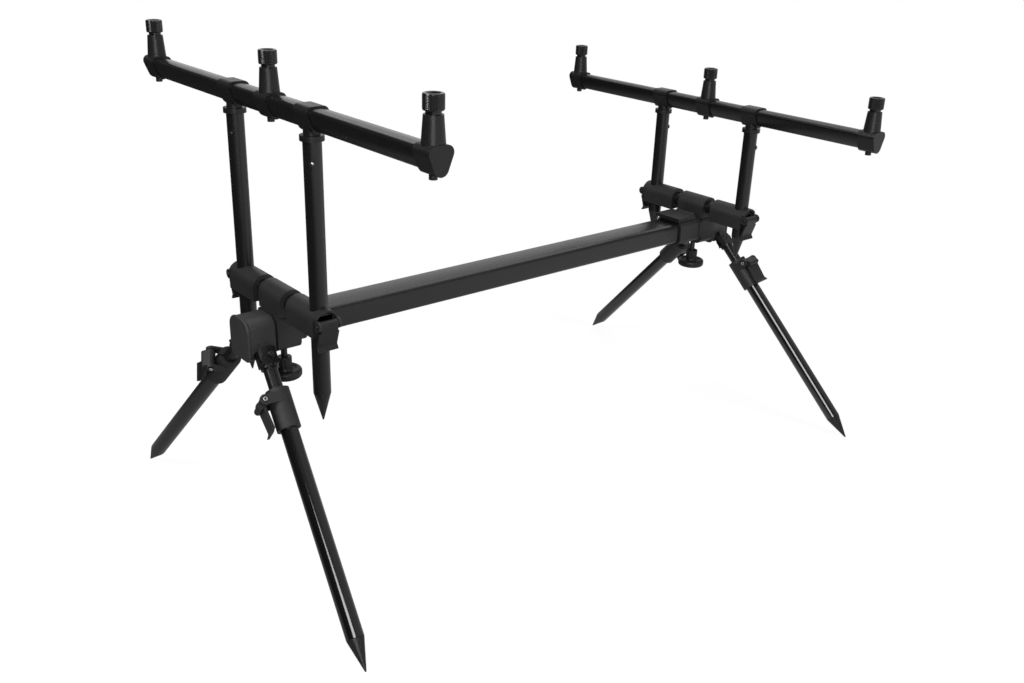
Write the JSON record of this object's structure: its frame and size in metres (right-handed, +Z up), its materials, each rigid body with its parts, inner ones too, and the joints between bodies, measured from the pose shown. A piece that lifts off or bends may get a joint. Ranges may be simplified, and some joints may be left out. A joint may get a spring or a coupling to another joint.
{
  "type": "rod pod",
  "caption": "Black rod pod: telescopic beam on splayed folding legs, a goalpost at each end, and bars with threaded inserts.",
  "frame": {"origin": "on the ground under the middle of the pod", "axes": "+Y along the beam from the taller goalpost to the shorter one, +Z up, +X to the right"},
  "size_m": [0.494, 0.705, 0.4738],
  "materials": {
    "moulding": "matte black moulded nylon",
    "handle": "black moulded, smooth",
    "beam_tube": "satin black anodised",
    "anodised": "satin black anodised",
    "leg_tube": "gloss black",
    "insert": "black anodised, knurled"
  },
  "bodies": {
    "frame": {"beam_outer_tube": "beam_tube", "beam_lock_collar": "moulding", "front_head_body": "moulding", "front_leg_block": "moulding", "front_end_cap": "handle"},
    "rear_frame": {"beam_inner_tube": "beam_tube", "beam_slide_shoe": "moulding", "rear_head_body": "moulding", "rear_leg_block": "moulding", "rear_end_cap": "handle"},
    "beam_lock_lever": {"beam_lock_lever": "handle"},
    "front_crossbar": {"front_cross_shaft": "anodised", "front_left_post_clamp": "moulding", "front_right_post_clamp": "moulding"},
    "front_left_post_lever": {"front_left_post_lever": "handle"},
    "front_right_post_lever": {"front_right_post_lever": "handle"},
    "front_goalpost": {"front_bar_tube": "anodised", "front_uprights": "anodised", "front_upright_spikes": "anodised", "front_tees": "moulding", "front_holders": "moulding"},
    "front_left_insert": {"front_left_insert": "insert"},
    "front_mid_insert": {"front_mid_insert": "insert"},
    "front_right_insert": {"front_right_insert": "insert"},
    "front_tilt_knob": {"front_tilt_knob": "handle"},
    "front_left_leg": {"front_left_leg_arm": "anodised"},
    "front_left_leg_lower": {"front_left_leg_clamp": "moulding", "front_left_leg_tube": "leg_tube", "front_left_leg_foot": "leg_tube"},
    "front_left_leg_lever": {"front_left_leg_lever": "handle"},
    "front_right_leg": {"front_right_leg_arm": "anodised"},
    "front_right_leg_lower": {"front_right_leg_clamp": "moulding", "front_right_leg_tube": "leg_tube", "front_right_leg_foot": "leg_tube"},
    "front_right_leg_lever": {"front_right_leg_lever": "handle"},
    "rear_crossbar": {"rear_cross_shaft": "anodised", "rear_left_post_clamp": "moulding", "rear_right_post_clamp": "moulding"},
    "rear_left_post_lever": {"rear_left_post_lever": "handle"},
    "rear_right_post_lever": {"rear_right_post_lever": "handle"},
    "rear_goalpost": {"rear_bar_tube": "anodised", "rear_uprights": "anodised", "rear_upright_spikes": "anodised", "rear_tees": "moulding", "rear_holders": "moulding"},
    "rear_left_insert": {"rear_left_insert": "insert"},
    "rear_mid_insert": {"rear_mid_insert": "insert"},
    "rear_right_insert": {"rear_right_insert": "insert"},
    "rear_tilt_knob": {"rear_tilt_knob": "handle"},
    "rear_left_leg": {"rear_left_leg_arm": "anodised"},
    "rear_left_leg_lower": {"rear_left_leg_clamp": "moulding", "rear_left_leg_tube": "leg_tube", "rear_left_leg_foot": "leg_tube"},
    "rear_left_leg_lever": {"rear_left_leg_lever": "handle"},
    "rear_right_leg": {"rear_right_leg_arm": "anodised"},
    "rear_right_leg_lower": {"rear_right_leg_clamp": "moulding", "rear_right_leg_tube": "leg_tube", "rear_right_leg_foot": "leg_tube"},
    "rear_right_leg_lever": {"rear_right_leg_lever": "handle"}
  },
  "joints": [
    {"name": "beam_extension", "type": "slide", "parent": "frame", "child": "rear_frame", "axis": [0, 1, 0], "range_m": [0, 0.34]},
    {"name": "beam_lock_flip", "type": "hinge", "parent": "frame", "child": "beam_lock_lever", "pos_m": [0, 0.2702, 0.244], "axis": [-1, 0, 0], "range_deg": [0, 80]},
    {"name": "front_tilt", "type": "hinge", "parent": "frame", "child": "front_crossbar", "pos_m": [0, -0.29, 0.2525], "axis": [1, 0, 0], "range_deg": [-8, 80]},
    {"name": "front_left_post_lever_flip", "type": "hinge", "parent": "front_crossbar", "child": "front_left_post_lever", "pos_m": [-0.084, -0.29, 0.2525], "axis": [0, 1, 0], "range_deg": [0, 90]},
    {"name": "front_right_post_lever_flip", "type": "hinge", "parent": "front_crossbar", "child": "front_right_post_lever", "pos_m": [0.084, -0.29, 0.2525], "axis": [0, -1, 0], "range_deg": [0, 90]},
    {"name": "front_post_slide", "type": "slide", "parent": "front_crossbar", "child": "front_goalpost", "axis": [0, 0, 1], "range_m": [-0.125, 0.05]},
    {"name": "front_left_insert_turn", "type": "hinge", "parent": "front_goalpost", "child": "front_left_insert", "pos_m": [-0.237, -0.29, 0.4592], "axis": [0, 0, 1], "continuous": true},
    {"name": "front_mid_insert_turn", "type": "hinge", "parent": "front_goalpost", "child": "front_mid_insert", "pos_m": [0, -0.29, 0.4592], "axis": [0, 0, 1], "continuous": true},
    {"name": "front_right_insert_turn", "type": "hinge", "parent": "front_goalpost", "child": "front_right_insert", "pos_m": [0.237, -0.29, 0.4592], "axis": [0, 0, 1], "continuous": true},
    {"name": "front_tilt_knob_turn", "type": "hinge", "parent": "frame", "child": "front_tilt_knob", "pos_m": [0, -0.29, 0.226], "axis": [0, 0, 1], "continuous": true},
    {"name": "front_left_leg_fold", "type": "hinge", "parent": "frame", "child": "front_left_leg", "pos_m": [-0.0235, -0.32, 0.2077], "axis": [0.6796, -0.4207, -0.601], "range_deg": [0, 60]},
    {"name": "front_left_leg_extension", "type": "slide", "parent": "front_left_leg", "child": "front_left_leg_lower", "axis": [-0.6916, -0.0941, -0.7161], "range_m": [0, 0.12]},
    {"name": "front_left_leg_lever_flip", "type": "hinge", "parent": "front_left_leg_lower", "child": "front_left_leg_lever", "pos_m": [-0.05578, -0.33826, 0.18263], "axis": [-0.6914, 0.3729, 0.6187], "range_deg": [0, 90]},
    {"name": "front_right_leg_fold", "type": "hinge", "parent": "frame", "child": "front_right_leg", "pos_m": [0.0235, -0.32, 0.2077], "axis": [0.6796, 0.4207, 0.601], "range_deg": [0, 60]},
    {"name": "front_right_leg_extension", "type": "slide", "parent": "front_right_leg", "child": "front_right_leg_lower", "axis": [0.6916, -0.0941, -0.7161], "range_m": [0, 0.12]},
    {"name": "front_right_leg_lever_flip", "type": "hinge", "parent": "front_right_leg_lower", "child": "front_right_leg_lever", "pos_m": [0.05018, -0.33927, 0.17735], "axis": [-0.706, 0.1213, -0.6977], "range_deg": [0, 90]},
    {"name": "rear_tilt", "type": "hinge", "parent": "rear_frame", "child": "rear_crossbar", "pos_m": [0, 0.29, 0.2525], "axis": [-1, 0, 0], "range_deg": [-80, 80]},
    {"name": "rear_left_post_lever_flip", "type": "hinge", "parent": "rear_crossbar", "child": "rear_left_post_lever", "pos_m": [-0.084, 0.29, 0.2525], "axis": [0, 1, 0], "range_deg": [0, 90]},
    {"name": "rear_right_post_lever_flip", "type": "hinge", "parent": "rear_crossbar", "child": "rear_right_post_lever", "pos_m": [0.084, 0.29, 0.2525], "axis": [0, -1, 0], "range_deg": [0, 90]},
    {"name": "rear_post_slide", "type": "slide", "parent": "rear_crossbar", "child": "rear_goalpost", "axis": [0, 0, 1], "range_m": [-0.07, 0.01]},
    {"name": "rear_left_insert_turn", "type": "hinge", "parent": "rear_goalpost", "child": "rear_left_insert", "pos_m": [-0.224, 0.29, 0.4042], "axis": [0, 0, 1], "continuous": true},
    {"name": "rear_mid_insert_turn", "type": "hinge", "parent": "rear_goalpost", "child": "rear_mid_insert", "pos_m": [0, 0.29, 0.4042], "axis": [0, 0, 1], "continuous": true},
    {"name": "rear_right_insert_turn", "type": "hinge", "parent": "rear_goalpost", "child": "rear_right_insert", "pos_m": [0.224, 0.29, 0.4042], "axis": [0, 0, 1], "continuous": true},
    {"name": "rear_tilt_knob_turn", "type": "hinge", "parent": "rear_frame", "child": "rear_tilt_knob", "pos_m": [0, 0.29, 0.226], "axis": [0, 0, 1], "continuous": true},
    {"name": "rear_left_leg_fold", "type": "hinge", "parent": "rear_frame", "child": "rear_left_leg", "pos_m": [-0.0235, 0.32, 0.2077], "axis": [-0.6796, -0.4207, 0.601], "range_deg": [0, 60]},
    {"name": "rear_left_leg_extension", "type": "slide", "parent": "rear_left_leg", "child": "rear_left_leg_lower", "axis": [-0.6916, 0.0941, -0.7161], "range_m": [0, 0.12]},
    {"name": "rear_left_leg_lever_flip", "type": "hinge", "parent": "rear_left_leg_lower", "child": "rear_left_leg_lever", "pos_m": [-0.05153, 0.33938, 0.17867], "axis": [0.7193, 0, -0.6947], "range_deg": [0, 90]},
    {"name": "rear_right_leg_fold", "type": "hinge", "parent": "rear_frame", "child": "rear_right_leg", "pos_m": [0.0235, 0.32, 0.2077], "axis": [-0.6796, 0.4207, -0.601], "range_deg": [0, 60]},
    {"name": "rear_right_leg_extension", "type": "slide", "parent": "rear_right_leg", "child": "rear_right_leg_lower", "axis": [0.6916, 0.0941, -0.7161], "range_m": [0, 0.12]},
    {"name": "rear_right_leg_lever_flip", "type": "hinge", "parent": "rear_right_leg_lower", "child": "rear_right_leg_lever", "pos_m": [0.0637, 0.32395, 0.18839], "axis": [0.0654, -0.9956, -0.0677], "range_deg": [0, 90]}
  ]
}
